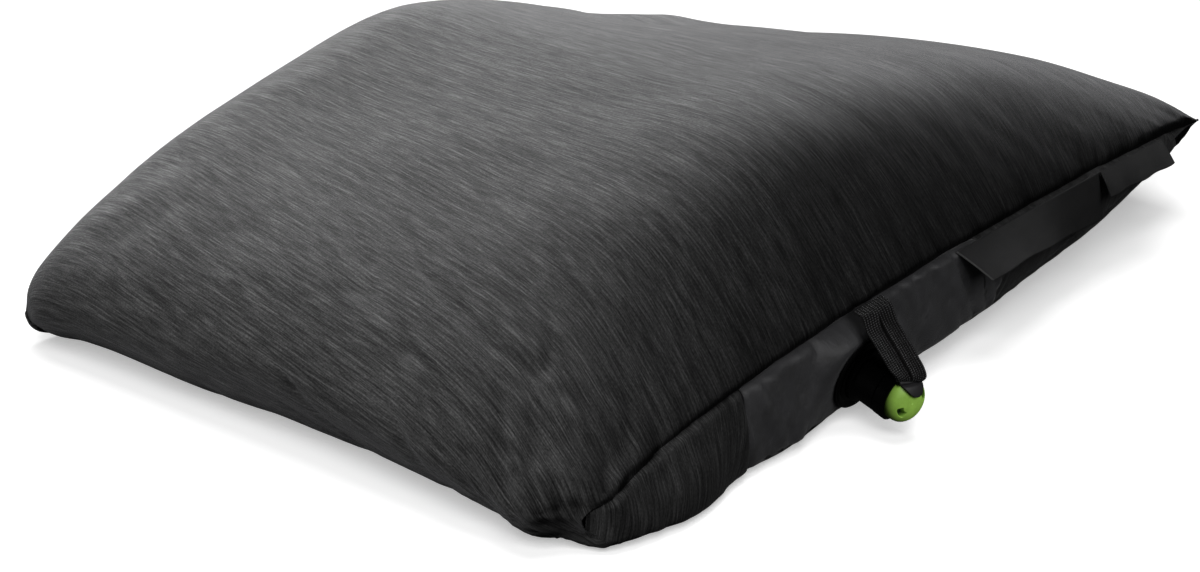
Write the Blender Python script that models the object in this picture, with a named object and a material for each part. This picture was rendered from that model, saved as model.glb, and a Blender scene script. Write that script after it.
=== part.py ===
"""Inflatable camp pillow with a jersey cover, a two-film air bladder and a push-pull valve.

Frame: origin on the floor under the middle of the underside, +X along the length, +Z up.
The valve, its elastic loop and the labels are on the long side that faces -Y.
Metres throughout.
"""

import math

import bmesh
import bpy
from mathutils import Matrix, Vector

# Driving dimensions of the inflated pillow
LENGTH = 0.520
WIDTH = 0.337
CROWN = 0.0803  # crown above the plane through the four corners
CROWN_TILT = 0.0268  # extra crown at the back, taken off at the front
CROWN_SHIFT = -0.10  # where the crown is highest, as a share of half the length
LENGTH_POWERS = (1.5, 1 / 1.88)  # how the crown falls off along the length, and across below
FRONT_CROWN_POWERS = (4.46, 1 / 1.11)
BACK_CROWN_POWERS = (3.61, 1 / 4.69)
CRADLE_DEPTH = 0.0166
CRADLE_CENTRE = 0.766
CRADLE_SPREAD = 0.80
SHOULDER = 0.0065  # the front of the crown stands this much fuller
SHOULDER_CENTRE = (-0.22, -0.52)
SHOULDER_SPREAD = (0.40, 0.21)
HOLLOW = 0.0207  # the top sinks by this much towards the back of the right end
HOLLOW_CENTRE = (0.555, 0.889)
HOLLOW_SPREAD = (0.36, 0.70)
SEAM_RISE = 0.0215  # front and back seams above the corner plane at mid length
CORNER_HEIGHT = {(-1, -1): 0.0156, (-1, 1): 0.019, (1, -1): 0.053, (1, 1): 0.016}
CORNER_PULL = {
    (-1, -1): (0.011, 0.0),
    (-1, 1): (0.005, 0.0),
    (1, -1): (0.0, 0.0104),
    (1, 1): (-0.006, -0.004),
}
FRONT_BOW = 0.0168  # the front seam bows out by this share of half the width
BACK_BOW = -0.0575
LEFT_BOW = -0.012
RIGHT_BOW = 0.02
LEFT_END_RISE = 0.0214
LEFT_LIFT_POWER, RIGHT_LIFT_POWER = 6, 3  # how late the underside lifts towards each end
SIDE_LIFT_FROM = -0.886  # beyond this share of half the length the underside's sides lift as well
FLAT_FROM, FLAT_TO = -0.55, 0.30  # underside rests flat between these shares of half the length
FLAT_WIDTH = 0.60  # and within this share of half the width
FLAT_RIM_LIFT = 0.00015  # the flat's rim clears the floor between its four corners
GUSSET_BULGE = 0.002
GUSSET_REACH = 0.96  # gussets end at this share of half the length

# Layer thicknesses, and the clearance kept between neighbouring layers
CLOTH = 0.0012
PAD_FROM, PAD_TO = 0.0018, 0.0048
PAD_REACH = 0.94
FILM = 0.0008
FILM_INSET_X, FILM_INSET_Y, FILM_DEPTH = 0.009, 0.0065, 0.0064
WELD_STEP = 0.0004
WELD_DROP = 0.0155
BAFFLE_REACH = 0.74
BAFFLE_THICKNESS = 0.0008
BAFFLE_CLEARANCE = 0.0018
BAFFLE_SHARES = (-0.36, 0.0, 0.36)
GAP = 0.0004
WRAP_GAP = 0.0010
WRAP_TO = 0.90  # the top cover wraps under each end as far as this share of half the length

# Valve: centre of the flange's back face, and its axis, which dips towards the floor
VALVE_CENTRE = Vector((-0.066, -0.1775, 0.0255))
VALVE_DIP = math.radians(15)
FLANGE_R, FLANGE_T = 0.018, 0.0018
HOUSING_R, HOUSING_BORE = 0.0108, 0.0075
HOUSING_IN, HOUSING_OUT = -0.020, 0.0195
KNOB_R, KNOB_BASE, KNOB_FACE = 0.0110, 0.0198, 0.0260
STEM_R, STEM_IN = 0.0040, 0.003
SEAL_S = 0.0065
PANEL_HOLE_R = 0.0125
FILM_HOLE_R = 0.0116
SEAT_S, SEAT_T = -0.0150, 0.0014
SEAT_HOLES, SEAT_HOLE_R, SEAT_HOLE_PCR = 6, 0.0012, 0.0042
FLAP_R, FLAP_T = 0.0062, 0.0008
RUNNING_CLEARANCE = 0.0002

# Panel joints on the front gusset, and trim
NEAR_SEAM_X = -0.142
PANEL_END_X, PANEL_END_BOW = 0.030, 0.018
LABEL_THICKNESS = 0.0005
WEBBING_THICKNESS = 0.0014

HALF_L, HALF_W = LENGTH / 2, WIDTH / 2


def clear_scene():
    for obj in list(bpy.data.objects):
        bpy.data.objects.remove(obj)


def material(name, colour, roughness, metallic=0.0):
    mat = bpy.data.materials.new(name)
    mat.use_nodes = True
    shader = mat.node_tree.nodes["Principled BSDF"]
    shader.inputs["Base Color"].default_value = (*colour, 1.0)
    shader.inputs["Roughness"].default_value = roughness
    shader.inputs["Metallic"].default_value = metallic
    return mat


def add_object(name, mesh, mat, parent=None):
    mesh.materials.append(mat)
    obj = bpy.data.objects.new(name, mesh)
    obj.parent = parent
    bpy.context.scene.collection.objects.link(obj)
    return obj


def mix(a, b, share):
    return a + (b - a) * share


def clamp(value, low=0.0, high=1.0):
    return max(low, min(high, value))


def smooth(share):
    share = clamp(share)
    return share * share * (3 - 2 * share)


def spaced(count, low=-1.0, high=1.0):
    """Values from low to high, closer together near both ends."""
    steps = (math.sin(math.pi / 2 * (2 * i / (count - 1) - 1)) for i in range(count))
    return [mix(low, high, (step + 1) / 2) for step in steps]


# Where the skins have their mesh lines, as shares of half the length and half the width
END = 0.9999
ALONG = spaced(25, -END, END)
FRONT_HALF = [-1, -0.96, -0.88, -0.75, -FLAT_WIDTH, -0.30]
ACROSS = FRONT_HALF + [0] + [-v for v in reversed(FRONT_HALF)]


# The pillow's outer skin. xi and v run from -1 to 1 along its length and its width.


def corner_blend(values, xi, v):
    """A quantity given at the four corners, spread over the pillow."""
    share_x = (xi + 1) / 2
    share_v = (v + 1) / 2
    front = mix(values[(-1, -1)], values[(1, -1)], share_x)
    back = mix(values[(-1, 1)], values[(1, 1)], share_x)
    return mix(front, back, share_v)


def outline(xi, v, inset=0.0, end_share=1.0, side_share=1.0):
    """Plan position, with the sides bowed and the corners drawn in."""
    side_bow = side_share * (FRONT_BOW if v < 0 else BACK_BOW)
    end_bow = end_share * (LEFT_BOW if xi < 0 else RIGHT_BOW)
    x = (HALF_L - inset) * xi * (1 + end_bow * (1 - v * v))
    y = (HALF_W - inset) * v * (1 + side_bow * (1 - xi * xi))
    for (corner_x, corner_v), (pull_x, pull_y) in CORNER_PULL.items():
        weight = max(0.0, xi * corner_x) ** 6 * max(0.0, v * corner_v) ** 6
        x += pull_x * weight
        y += pull_y * weight
    return x, y


def corner_plane(xi, v):
    """Height where the top and the underside meet at the ends."""
    left = LEFT_END_RISE * (1 - v * v) * max(0.0, -xi) ** 4
    return corner_blend(CORNER_HEIGHT, xi, v) + left


def bump(xi, v, centre, spread):
    """A smooth hump of height 1."""
    return math.exp(-(((xi - centre[0]) / spread[0]) ** 2) - ((v - centre[1]) / spread[1]) ** 2)


def rise(xi, v):
    """Height of the top skin above the corner plane."""
    along = clamp(abs(xi - CROWN_SHIFT * (1 - xi * xi)))
    dome = max(0.0, 1 - along ** LENGTH_POWERS[0]) ** LENGTH_POWERS[1]
    inner, outer = FRONT_CROWN_POWERS if v < 0 else BACK_CROWN_POWERS
    across = max(0.0, 1 - abs(v) ** inner) ** outer
    seam = SEAM_RISE * max(0.0, 1 - along * along) ** 0.75
    cradle = CRADLE_DEPTH * math.exp(-(((v - CRADLE_CENTRE) / CRADLE_SPREAD) ** 2))
    cradle *= (1 - xi**4) * (1 - v**4)
    shoulder = SHOULDER * bump(xi, v, SHOULDER_CENTRE, SHOULDER_SPREAD) * (1 - v**8)
    hollow = HOLLOW * bump(xi, v, HOLLOW_CENTRE, HOLLOW_SPREAD) * (1 - xi**6) * (1 - v**8)
    return seam + dome * across * (CROWN + CROWN_TILT * v) - cradle + shoulder - hollow


def top_point(xi, v, inset=0.0):
    x, y = outline(xi, v, inset)
    z = corner_plane(xi, v) + rise(xi, v) * (1 - inset / CROWN)
    return Vector((x, y, z))


def underside(xi, v):
    """Height of the underside: flat in the middle, lifting to the edges and the right end."""
    if xi < 0:
        end = 1 - math.sqrt(1 - clamp((FLAT_FROM - xi) / (1 + FLAT_FROM)) ** LEFT_LIFT_POWER)
    else:
        end = 1 - math.sqrt(1 - clamp((xi - FLAT_TO) / (1 - FLAT_TO)) ** RIGHT_LIFT_POWER)
    along = max(0.0, (xi - SIDE_LIFT_FROM) / (1 - SIDE_LIFT_FROM)) ** 2
    edge_height = CORNER_HEIGHT[(1, -1 if v < 0 else 1)]
    side = clamp((abs(v) - FLAT_WIDTH) / (1 - FLAT_WIDTH)) ** 3
    return mix(edge_height * along * side, corner_plane(xi, v), end)


def bottom_point(xi, v, inset=0.0):
    """The bows fade out towards the flat, whose outline is a rectangle."""
    end_share = smooth((abs(xi) + FLAT_FROM) / (1 + FLAT_FROM))
    side_share = smooth((abs(v) - FLAT_WIDTH) / (1 - FLAT_WIDTH))
    x, y = outline(xi, v, inset, end_share, side_share)
    low = underside(xi, v)
    plane = corner_plane(xi, v)
    return Vector((x, y, mix(low, plane, min(1.0, inset / plane))))


def gusset_point(x, w, inset=0.0, side=-1):
    """A point on the side panel at length x and share w of its height."""
    xi = x / HALF_L
    top = top_point(xi, side, inset)
    low = bottom_point(xi, side, inset)
    bulge = GUSSET_BULGE * 4 * w * (1 - w) * (1 - xi**4)
    height = mix(low.z + GAP, top.z - GAP, w)
    return Vector((top.x, top.y + side * bulge, height))


# Mesh makers


def shell(name, outer, inner, mat):
    """A closed skin between two grids of points."""
    mesh_data = bmesh.new()
    skins = [[[mesh_data.verts.new(p) for p in row] for row in grid] for grid in (outer, inner)]
    rows, columns = len(outer), len(outer[0])
    for grid in skins:
        for i in range(rows - 1):
            for j in range(columns - 1):
                mesh_data.faces.new((grid[i][j], grid[i + 1][j], grid[i + 1][j + 1], grid[i][j + 1]))
    rim = [(i, 0) for i in range(rows)]
    rim += [(rows - 1, j) for j in range(1, columns)]
    rim += [(i, columns - 1) for i in range(rows - 2, -1, -1)]
    rim += [(0, j) for j in range(columns - 2, 0, -1)]
    for (i, j), (k, m) in zip(rim, rim[1:] + rim[:1]):
        mesh_data.faces.new((skins[0][i][j], skins[0][k][m], skins[1][k][m], skins[1][i][j]))
    bmesh.ops.recalc_face_normals(mesh_data, faces=mesh_data.faces)
    mesh = bpy.data.meshes.new(name)
    mesh_data.to_mesh(mesh)
    mesh_data.free()
    mesh.shade_smooth()
    return add_object(name, mesh, mat)


def turned(name, profile, mat, parent, steps=36):
    """A closed profile of (radius, height) pairs, turned about local Z."""
    mesh_data = bmesh.new()
    ring = [mesh_data.verts.new((r, 0, s)) for r, s in profile]
    edges = [mesh_data.edges.new(pair) for pair in zip(ring, ring[1:] + ring[:1])]
    bmesh.ops.spin(
        mesh_data,
        geom=ring + edges,
        cent=(0, 0, 0),
        axis=(0, 0, 1),
        angle=2 * math.pi,
        steps=steps,
        use_merge=True,
    )
    bmesh.ops.remove_doubles(mesh_data, verts=mesh_data.verts, dist=1e-6)
    bmesh.ops.dissolve_degenerate(mesh_data, edges=mesh_data.edges, dist=1e-7)
    bmesh.ops.recalc_face_normals(mesh_data, faces=mesh_data.faces)
    mesh = bpy.data.meshes.new(name)
    mesh_data.to_mesh(mesh)
    mesh_data.free()
    mesh.shade_smooth()
    mesh.set_sharp_from_angle(angle=math.radians(35))
    return add_object(name, mesh, mat, parent)


def cylinder_cutter(name, radius, low, high, parent, centre=(0.0, 0.0), steps=32):
    mesh_data = bmesh.new()
    middle = Matrix.Translation((centre[0], centre[1], (low + high) / 2))
    bmesh.ops.create_cone(
        mesh_data,
        cap_ends=True,
        segments=steps,
        radius1=radius,
        radius2=radius,
        depth=high - low,
        matrix=middle,
    )
    mesh = bpy.data.meshes.new(name)
    mesh_data.to_mesh(mesh)
    mesh_data.free()
    obj = bpy.data.objects.new(name, mesh)
    obj.parent = parent
    obj.hide_render = True
    obj.display_type = "WIRE"
    bpy.context.scene.collection.objects.link(obj)
    return obj


def cut(obj, cutter):
    modifier = obj.modifiers.new("cut_" + cutter.name, "BOOLEAN")
    modifier.operation = "DIFFERENCE"
    modifier.object = cutter


def patch(corners, rows, columns, skip=()):
    """Points and quads of a bilinear patch, without the cells in skip."""
    top_left, top_right, low_left, low_right = corners
    points = []
    for i in range(len(rows)):
        for share in columns:
            top = top_left.lerp(top_right, share)
            low = low_left.lerp(low_right, share)
            points.append(top.lerp(low, rows[i]))
    width = len(columns)
    quads = []
    for i in range(len(rows) - 1):
        for j in range(width - 1):
            if (i, j) not in skip:
                quads.append((i * width + j, (i + 1) * width + j, (i + 1) * width + j + 1, i * width + j + 1))
    return points, quads


def flat_piece(name, points, quads, thickness, mat, parent=None):
    """A sheet of points and quads, thickened both ways."""
    mesh = bpy.data.meshes.new(name)
    mesh.from_pydata(points, [], quads)
    mesh.update()
    obj = add_object(name, mesh, mat, parent)
    solid = obj.modifiers.new("thickness", "SOLIDIFY")
    solid.thickness = thickness
    solid.offset = 0
    return obj


# Cover


def make_top_cover(mat):
    """Jersey over the top, wrapping round both ends to the underside."""
    wrap = [0.985, 0.95, WRAP_TO]
    columns = [(-xi, bottom_point) for xi in reversed(wrap)]
    columns += [(xi, top_point) for xi in ALONG]
    columns += [(xi, bottom_point) for xi in wrap]
    outer = [[point(xi, v) for v in ACROSS] for xi, point in columns]
    inner = [[point(xi, v, CLOTH) for v in ACROSS] for xi, point in columns]
    return shell("top_cover", outer, inner, mat)


def on_flat_rim(xi, v):
    side = abs(v) == FLAT_WIDTH and FLAT_FROM < xi < FLAT_TO
    end = xi in (FLAT_FROM, FLAT_TO) and abs(v) < FLAT_WIDTH
    return side or end


def make_bottom_cover(mat):
    reach = WRAP_TO - WRAP_GAP / HALF_L
    along = [-reach, -0.86, -0.80, FLAT_FROM, -0.40, -0.20, 0.0, 0.15, FLAT_TO]
    along += [0.42, 0.54, 0.65, 0.75, 0.83, reach]
    outer = [[bottom_point(xi, v) for v in ACROSS] for xi in along]
    for xi, row in zip(along, outer):
        for v, point in zip(ACROSS, row):
            if on_flat_rim(xi, v):
                point.z += FLAT_RIM_LIFT
    inner = [[bottom_point(xi, v, CLOTH) for v in ACROSS] for xi in along]
    return shell("bottom_cover", outer, inner, mat)


def make_gusset(name, start, stop, count, mat, side=-1):
    """A side panel between two edges, each given as length against share of height."""
    heights = [0.0, 0.3, 0.7, 1.0]
    grids = []
    for inset in (0.0, CLOTH):
        grid = []
        for i in range(count + 1):
            share = i / count
            row = [gusset_point(mix(start(w), stop(w), share), w, inset, side) for w in heights]
            grid.append(row)
        grids.append(grid)
    return shell(name, grids[0], grids[1], mat)


def panel_end(w):
    """The valve panel's rounded far edge."""
    return PANEL_END_X + PANEL_END_BOW * math.sin(0.75 * math.pi * (1 - w))


def make_gussets(jersey, taffeta):
    reach = GUSSET_REACH * HALF_L
    make_gusset("front_gusset_near", lambda w: -reach, lambda w: NEAR_SEAM_X - GAP, 10, jersey)
    panel = make_gusset("valve_panel", lambda w: NEAR_SEAM_X, panel_end, 14, taffeta)
    make_gusset("front_gusset_far", lambda w: panel_end(w) + GAP, lambda w: reach, 18, jersey)
    make_gusset("rear_gusset", lambda w: -reach, lambda w: reach, 36, jersey, side=1)
    return panel


# Filling


def make_insulation_pad(mat):
    along = [xi for xi in ALONG if abs(xi) < PAD_REACH]
    across = [v for v in ACROSS if abs(v) < PAD_REACH]
    outer = [[top_point(xi, v, PAD_FROM) for v in across] for xi in along]
    inner = [[top_point(xi, v, PAD_TO) for v in across] for xi in along]
    return shell("insulation_pad", outer, inner, mat)


def weld_height(xi, v):
    """The plane where the two bladder films are welded round their edge."""
    return corner_plane(xi, v) - WELD_DROP * math.sqrt(1 - xi * xi) * (1 - v) / 2


def film_point(xi, v, top, depth):
    x, y = outline(xi, v, FILM_INSET_Y + depth)
    x *= (HALF_L - FILM_INSET_X - depth) / (HALF_L - FILM_INSET_Y - depth)
    fullness = math.sqrt((1 - xi**10) * (1 - v**10))
    step = WELD_STEP * (1 if depth else 3)
    weld = weld_height(xi, v)
    if top:
        skin = top_point(xi, v, FILM_DEPTH + depth).z
        return Vector((x, y, mix(weld + step, skin, fullness)))
    skin = underside(xi, v) + 2.2 * CLOTH + depth
    return Vector((x, y, mix(weld - step, skin, fullness)))


def make_bladder(mat):
    films = []
    for name, top in (("bladder_upper_film", True), ("bladder_lower_film", False)):
        grids = [[[film_point(xi, v, top, d) for v in ACROSS] for xi in ALONG] for d in (0.0, FILM)]
        films.append(shell(name, grids[0], grids[1], mat))
    return films


def make_baffle(number, share, mat):
    """A web between the two films, along the pillow, which holds the cradle down."""
    along = [xi for xi in ALONG if abs(xi) < BAFFLE_REACH]
    sides = []
    for offset in (-BAFFLE_THICKNESS / 2, BAFFLE_THICKNESS / 2):
        rows = []
        for xi in along:
            high = film_point(xi, share, True, FILM)
            low = film_point(xi, share, False, FILM)
            shift = Vector((0, offset, 0))
            lift = Vector((0, 0, BAFFLE_CLEARANCE))
            rows.append([low + lift + shift, low.lerp(high, 0.5) + shift, high - lift + shift])
        sides.append(rows)
    return shell(f"bladder_baffle_{number}", sides[0], sides[1], mat)


def make_stow_pocket(mat):
    """Flat pouch behind the valve panel, open towards the panel's rounded edge."""
    low = Vector((-0.030, -0.1694, 0.018))
    high = Vector((0.026, -0.1664, 0.044))
    mesh_data = bmesh.new()
    size = high - low
    place = Matrix.Translation((low + high) / 2) @ Matrix.Diagonal((*size, 1))
    bmesh.ops.create_cube(mesh_data, size=1, matrix=place)
    mouth = max(mesh_data.faces, key=lambda face: face.calc_center_median().x)
    bmesh.ops.inset_region(mesh_data, faces=[mouth], thickness=0.0006)
    depth = Vector((-(size.x - 0.0006), 0, 0))
    pushed = bmesh.ops.extrude_discrete_faces(mesh_data, faces=[mouth])["faces"]
    bmesh.ops.translate(mesh_data, verts=pushed[0].verts, vec=depth)
    bmesh.ops.recalc_face_normals(mesh_data, faces=mesh_data.faces)
    mesh = bpy.data.meshes.new("stow_pocket")
    mesh_data.to_mesh(mesh)
    mesh_data.free()
    return add_object("stow_pocket", mesh, mat)


# Valve. Its pieces are modelled along local Z, which points out of the pillow.


def make_frame(name, offset, parent=None):
    empty = bpy.data.objects.new(name, None)
    empty.parent = parent
    empty.matrix_local = offset
    bpy.context.scene.collection.objects.link(empty)
    return empty


def make_valve_fixed(frame, black):
    flange = [
        (HOUSING_R + RUNNING_CLEARANCE, 0.0),
        (FLANGE_R - 0.0005, 0.0),
        (FLANGE_R, 0.0006),
        (FLANGE_R - 0.0014, FLANGE_T),
        (HOUSING_R + RUNNING_CLEARANCE, FLANGE_T),
    ]
    turned("valve_flange", flange, black, frame)
    collar_r = HOUSING_R + 0.0022
    housing = [
        (HOUSING_BORE, HOUSING_IN),
        (HOUSING_R - 0.0008, HOUSING_IN),
        (HOUSING_R, HOUSING_IN + 0.0008),
        (HOUSING_R, FLANGE_T + GAP),
        (collar_r, FLANGE_T + GAP),
        (collar_r, FLANGE_T + 0.0022),
        (HOUSING_R, FLANGE_T + 0.0036),
        (HOUSING_R, HOUSING_OUT - 0.0006),
        (HOUSING_R - 0.0006, HOUSING_OUT),
        (HOUSING_BORE, HOUSING_OUT),
    ]
    turned("valve_housing", housing, black, frame)


def make_flap_seat(frame, mat):
    """Perforated disc across the bore, which the check flap closes against."""
    seat_r = HOUSING_BORE - RUNNING_CLEARANCE
    profile = [(0, SEAT_S), (seat_r, SEAT_S), (seat_r, SEAT_S + SEAT_T), (0, SEAT_S + SEAT_T)]
    seat = turned("flap_seat", profile, mat, frame, steps=24)
    for i in range(SEAT_HOLES):
        angle = 2 * math.pi * i / SEAT_HOLES
        centre = (SEAT_HOLE_PCR * math.cos(angle), SEAT_HOLE_PCR * math.sin(angle))
        low, high = SEAT_S - 0.001, SEAT_S + SEAT_T + 0.001
        cut(seat, cylinder_cutter(f"seat_hole_{i}", SEAT_HOLE_R, low, high, frame, centre, steps=12))


def make_check_flap(frame, mat):
    """Silicone disc that swings into the bladder on a hinge along its upper edge."""
    hinge = make_frame("flap_hinge", Matrix.Translation((0, FLAP_R, SEAT_S - GAP)), frame)
    profile = [(0, -FLAP_T), (FLAP_R, -FLAP_T), (FLAP_R, 0), (0, 0)]
    flap = turned("check_flap", profile, mat, hinge, steps=24)
    flap.location = (0, -FLAP_R, 0)


def make_knob(slide, green, black, rubber):
    dome = [
        (0, KNOB_BASE),
        (KNOB_R - 0.0006, KNOB_BASE),
        (KNOB_R, KNOB_BASE + 0.0006),
        (KNOB_R, KNOB_FACE - 0.0030),
        (KNOB_R - 0.0006, KNOB_FACE - 0.0014),
        (KNOB_R - 0.0020, KNOB_FACE - 0.0004),
        (KNOB_R - 0.0040, KNOB_FACE),
        (0, KNOB_FACE),
    ]
    turned("valve_knob", dome, green, slide)
    stem_top = KNOB_BASE - GAP
    groove = 0.0010
    stem = [
        (0, STEM_IN),
        (HOUSING_BORE - 0.0006, STEM_IN),
        (HOUSING_BORE - 0.0006, SEAL_S - groove),
        (STEM_R + 0.0012, SEAL_S - groove),
        (STEM_R + 0.0012, SEAL_S + groove),
        (HOUSING_BORE - 0.0006, SEAL_S + groove),
        (HOUSING_BORE - 0.0006, SEAL_S + 3 * groove),
        (STEM_R, SEAL_S + 3 * groove),
        (STEM_R, stem_top),
        (0, stem_top),
    ]
    turned("valve_stem", stem, black, slide, steps=24)
    tube_r = 0.0008
    tube_centre = HOUSING_BORE - RUNNING_CLEARANCE - tube_r
    turns = [2 * math.pi * i / 8 for i in range(8)]
    ring = [(tube_centre + tube_r * math.cos(t), SEAL_S + tube_r * math.sin(t)) for t in turns]
    turned("stem_seal", ring, rubber, slide, steps=24)


def make_leash_tab(slide, mat):
    """Rubber tongue from the loop's fold over the knob's upper edge and down its face."""
    front = KNOB_FACE + 0.0010
    path = [(KNOB_R + 0.0006, front - 0.0030), (KNOB_R + 0.0006, front - 0.0006), (KNOB_R - 0.0004, front)]
    path += [(0.0085, front), (0.0065, front), (0.0048, front)]
    centre = [0.0078, 0.0078, 0.0078, 0.0080, 0.0082, 0.0084]
    half = [0.0050, 0.0050, 0.0048, 0.0042, 0.0034, 0.0018]
    points = []
    for (up, out), middle, reach in zip(path, centre, half):
        for share in (-1, 0, 1):
            points.append(Vector((middle + share * reach, up, out)))
    quads = []
    for i in range(len(path) - 1):
        for j in range(2):
            quads.append((3 * i + j, 3 * i + j + 1, 3 * i + j + 4, 3 * i + j + 3))
    return flat_piece("leash_tab", points, quads, 0.0010, mat, slide)


# Trim


def seam_edge(x, out, drop):
    """A point beside the front seam, out from it and below it."""
    seam = top_point(x / HALF_L, -1)
    return Vector((seam.x, seam.y - out, seam.z - drop))


def make_elastic_loop(mat):
    """Knitted elastic: two legs side by side from the seam, joined by a fold over the knob."""
    corners = [
        seam_edge(-0.0675, 0.0012, 0.0012),
        seam_edge(-0.0405, 0.0012, 0.0012),
        Vector((-0.0745, -0.2020, 0.0330)),
        Vector((-0.0450, -0.2010, 0.0282)),
    ]
    rows = [0, 0.15, 0.3, 0.45, 0.6, 0.75, 0.9, 1]
    columns = [0, 0.15, 0.3, 0.45, 0.55, 0.7, 0.85, 1]
    slit = {(i, 3) for i in range(len(rows) - 2)}
    points, quads = patch(corners, rows, columns, slit)
    return flat_piece("elastic_loop", points, quads, WEBBING_THICKNESS, mat)


def make_label(name, x_from, x_to, low_left, low_right, mat):
    corners = [seam_edge(x_from, 0.0012, 0.0010), seam_edge(x_to, 0.0012, 0.0010)]
    corners += [corners[0] + low_left, corners[1] + low_right]
    shares = [i / 8 for i in range(9)]
    points, quads = patch(corners, [0, 0.33, 0.66, 1], shares)
    return flat_piece(name, points, quads, LABEL_THICKNESS, mat)


def main():
    clear_scene()
    jersey = material("jersey_charcoal", (0.055, 0.055, 0.060), 0.95)
    taffeta = material("taffeta_black", (0.028, 0.027, 0.029), 0.55)
    batting = material("batting_white", (0.80, 0.80, 0.78), 1.0)
    film = material("film_grey", (0.42, 0.43, 0.45), 0.45)
    black = material("valve_black", (0.012, 0.012, 0.013), 0.30)
    green = material("knob_green", (0.38, 0.66, 0.08), 0.40)
    rubber = material("rubber_black", (0.016, 0.015, 0.018), 0.60)
    webbing = material("webbing_black", (0.024, 0.023, 0.024), 0.90)
    satin = material("satin_black", (0.020, 0.020, 0.022), 0.45)

    make_top_cover(jersey)
    make_bottom_cover(jersey)
    panel = make_gussets(jersey, taffeta)
    make_insulation_pad(batting)
    films = make_bladder(film)
    for number, share in enumerate(BAFFLE_SHARES, start=1):
        make_baffle(number, share, film)
    make_stow_pocket(taffeta)

    out = Vector((0, -math.cos(VALVE_DIP), -math.sin(VALVE_DIP)))
    up = Vector((0, -math.sin(VALVE_DIP), math.cos(VALVE_DIP)))
    place = Matrix((Vector((1, 0, 0)), up, out)).transposed().to_4x4()
    place.translation = VALVE_CENTRE
    valve = make_frame("valve_axis", place)
    make_valve_fixed(valve, black)
    make_flap_seat(valve, black)
    make_check_flap(valve, rubber)
    slide = make_frame("knob_slide", Matrix.Identity(4), valve)
    make_knob(slide, green, black, rubber)
    make_leash_tab(slide, rubber)
    cut(panel, cylinder_cutter("panel_hole", PANEL_HOLE_R, -0.020, 0.010, valve))
    for number, skin in enumerate(films):
        cut(skin, cylinder_cutter(f"film_hole_{number}", FILM_HOLE_R, -0.034, -0.006, valve))

    make_elastic_loop(webbing)
    make_label("main_label", 0.0145, 0.1385, Vector((0.005, -0.0175, -0.011)), Vector((0, -0.0050, -0.0225)), satin)
    make_label("side_label", 0.1405, 0.2080, Vector((0, -0.0070, -0.0120)), Vector((0.002, -0.0090, -0.0110)), satin)


main()
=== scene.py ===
"""Looks of the inflatable camp pillow.

Metres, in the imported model's frame: +X along the length, +Z up, the valve on the side that faces -Y.
The cover is one smooth skin, given by formulas, swollen by a short cloth simulation and then cut into its
sewn panels. xi and v run from -1 to 1 along the pillow's length and its width.
"""

import math

import bmesh
import bpy
import numpy as np
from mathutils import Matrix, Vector, noise
from numpy.linalg import norm


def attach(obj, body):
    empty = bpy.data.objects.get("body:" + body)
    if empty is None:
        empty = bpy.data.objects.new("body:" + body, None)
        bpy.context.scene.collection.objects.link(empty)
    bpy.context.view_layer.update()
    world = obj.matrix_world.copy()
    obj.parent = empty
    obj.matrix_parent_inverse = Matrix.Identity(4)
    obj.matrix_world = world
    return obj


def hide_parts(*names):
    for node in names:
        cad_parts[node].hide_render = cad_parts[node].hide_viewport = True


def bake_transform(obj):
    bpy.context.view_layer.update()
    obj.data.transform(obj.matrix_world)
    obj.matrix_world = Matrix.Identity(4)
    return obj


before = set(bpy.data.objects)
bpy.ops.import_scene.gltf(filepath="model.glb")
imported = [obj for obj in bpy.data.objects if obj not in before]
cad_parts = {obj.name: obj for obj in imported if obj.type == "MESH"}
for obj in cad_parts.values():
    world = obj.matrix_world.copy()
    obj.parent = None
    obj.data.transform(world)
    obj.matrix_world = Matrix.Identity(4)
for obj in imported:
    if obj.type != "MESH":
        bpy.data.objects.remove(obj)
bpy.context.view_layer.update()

# The inflated pillow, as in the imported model
LENGTH = 0.520
WIDTH = 0.337
CROWN = 0.0803
CROWN_TILT = 0.0268
CROWN_SHIFT = -0.10
FRONT_CROWN_POWERS = (4.46, 1 / 1.11)
BACK_CROWN_POWERS = (3.61, 1 / 4.69)
DOME_POWERS = (1.5, 1 / 1.88)
CRADLE_DEPTH = 0.0166
CRADLE_CENTRE = 0.766
CRADLE_SPREAD = 0.80
SHOULDER = 0.0065
SHOULDER_CENTRE = (-0.22, -0.52)
SHOULDER_SPREAD = (0.40, 0.21)
HOLLOW = 0.0207
HOLLOW_CENTRE = (0.555, 0.889)
HOLLOW_SPREAD = (0.36, 0.70)
SEAM_RISE = 0.0215
CORNER_HEIGHT = {(-1, -1): 0.0156, (-1, 1): 0.019, (1, -1): 0.053, (1, 1): 0.016}
CORNER_PULL = {
    (-1, -1): (0.011, 0.0),
    (-1, 1): (0.005, 0.0),
    (1, -1): (0.0, 0.0104),
    (1, 1): (-0.006, -0.004),
}
FRONT_BOW, BACK_BOW = 0.0168, -0.0575
LEFT_BOW, RIGHT_BOW = -0.012, 0.02
LEFT_END_RISE = 0.0214
LEFT_LIFT_POWER, RIGHT_LIFT_POWER = 3.52, 3
FLAT_FROM, FLAT_TO = -0.55, 0.30
FLAT_WIDTH = 0.60
SIDE_LIFT_FROM = -0.886
GUSSET_BULGE = 0.002
GUSSET_REACH = 0.985
WRAP_TO = 0.90
NEAR_SEAM_X = -0.142
PANEL_END_X, PANEL_END_BOW = 0.030, 0.018
HALF_L, HALF_W = LENGTH / 2, WIDTH / 2

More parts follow.
